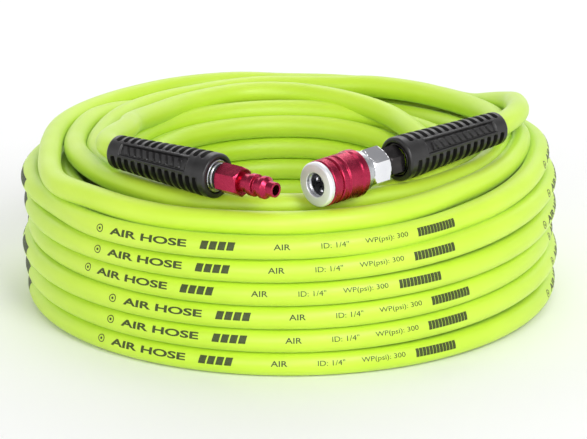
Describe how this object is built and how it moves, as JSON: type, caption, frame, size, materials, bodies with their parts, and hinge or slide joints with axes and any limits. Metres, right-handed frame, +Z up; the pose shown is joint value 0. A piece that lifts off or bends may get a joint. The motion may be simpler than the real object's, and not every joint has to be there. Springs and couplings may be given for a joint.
{
  "type": "coiled air hose",
  "caption": "Compressed-air hose wound into a low round coil, with slotted bend restrictors, a quick-connect plug on one end and a sliding-sleeve coupler on the other.",
  "frame": {"origin": "centre of the coil, on the surface that it lies on", "axes": "+Z up along the coil's axis; -Y towards the side where the plug and the coupler face each other"},
  "size_m": [0.3028, 0.3028, 0.1138],
  "materials": {
    "hose": "lime-green satin hose jacket",
    "restrictor": "black moulded rubber, softly glossy",
    "crimson": "crimson anodised, polished",
    "chrome": "bright plating",
    "steel": "plain turned steel",
    "black_metal": "black oxide, glossy",
    "seal": "black nitrile"
  },
  "bodies": {
    "hose": {"hose_coil": "hose", "plug_lead_hose": "hose", "coupler_lead_hose": "hose", "plug_hose_end": "hose", "coupler_hose_end": "hose", "plug_bend_restrictor": "restrictor", "coupler_bend_restrictor": "restrictor", "plug_ferrule": "steel", "coupler_ferrule": "black_metal", "plug_barbed_stem": "steel", "coupler_barbed_stem": "black_metal", "plug_thread_seal": "seal", "coupler_thread_seal": "seal", "plug_body": "crimson", "coupler_adapter": "chrome", "adapter_gasket": "seal", "coupler_barrel": "steel", "nose_ring": "chrome", "bore_seal": "seal", "sleeve_spring": "steel", "valve_spring": "steel"},
    "sleeve": {"coupler_sleeve": "crimson"},
    "ball_1": {"lock_ball_1": "steel"},
    "ball_2": {"lock_ball_2": "steel"},
    "ball_3": {"lock_ball_3": "steel"},
    "ball_4": {"lock_ball_4": "steel"},
    "ball_5": {"lock_ball_5": "steel"},
    "ball_6": {"lock_ball_6": "steel"},
    "valve": {"valve_poppet": "black_metal", "valve_seal": "seal"}
  },
  "joints": [
    {"name": "sleeve_slide", "type": "slide", "parent": "hose", "child": "sleeve", "axis": [0.7251, 0.6881, 0.0279], "range_m": [0, 0.0045], "stiffness_N_per_m": 1500, "springref_m": -0.002, "deforming": ["sleeve_spring"]},
    {"name": "valve_slide", "type": "slide", "parent": "hose", "child": "valve", "axis": [0.7251, 0.6881, 0.0279], "range_m": [0, 0.004], "stiffness_N_per_m": 400, "springref_m": -0.001, "deforming": ["valve_spring"]},
    {"name": "ball_1_slide", "type": "slide", "parent": "hose", "child": "ball_1", "axis": [0.3266, -0.3793, 0.8657], "range_m": [0, 0.00118]},
    {"name": "ball_2_slide", "type": "slide", "parent": "hose", "child": "ball_2", "axis": [0.6884, -0.7254, 0], "range_m": [0, 0.00118]},
    {"name": "ball_3_slide", "type": "slide", "parent": "hose", "child": "ball_3", "axis": [0.3617, -0.346, -0.8657], "range_m": [0, 0.00118]},
    {"name": "ball_4_slide", "type": "slide", "parent": "hose", "child": "ball_4", "axis": [-0.3266, 0.3793, -0.8657], "range_m": [0, 0.00118]},
    {"name": "ball_5_slide", "type": "slide", "parent": "hose", "child": "ball_5", "axis": [-0.6884, 0.7254, 0], "range_m": [0, 0.00118]},
    {"name": "ball_6_slide", "type": "slide", "parent": "hose", "child": "ball_6", "axis": [-0.3617, 0.346, 0.8657], "range_m": [0, 0.00118]}
  ],
  "couplings": [
    {"joint": "ball_1_slide", "follows": "sleeve_slide", "ratio": 0.26},
    {"joint": "ball_2_slide", "follows": "sleeve_slide", "ratio": 0.26},
    {"joint": "ball_3_slide", "follows": "sleeve_slide", "ratio": 0.26},
    {"joint": "ball_4_slide", "follows": "sleeve_slide", "ratio": 0.26},
    {"joint": "ball_5_slide", "follows": "sleeve_slide", "ratio": 0.26},
    {"joint": "ball_6_slide", "follows": "sleeve_slide", "ratio": 0.26}
  ]
}
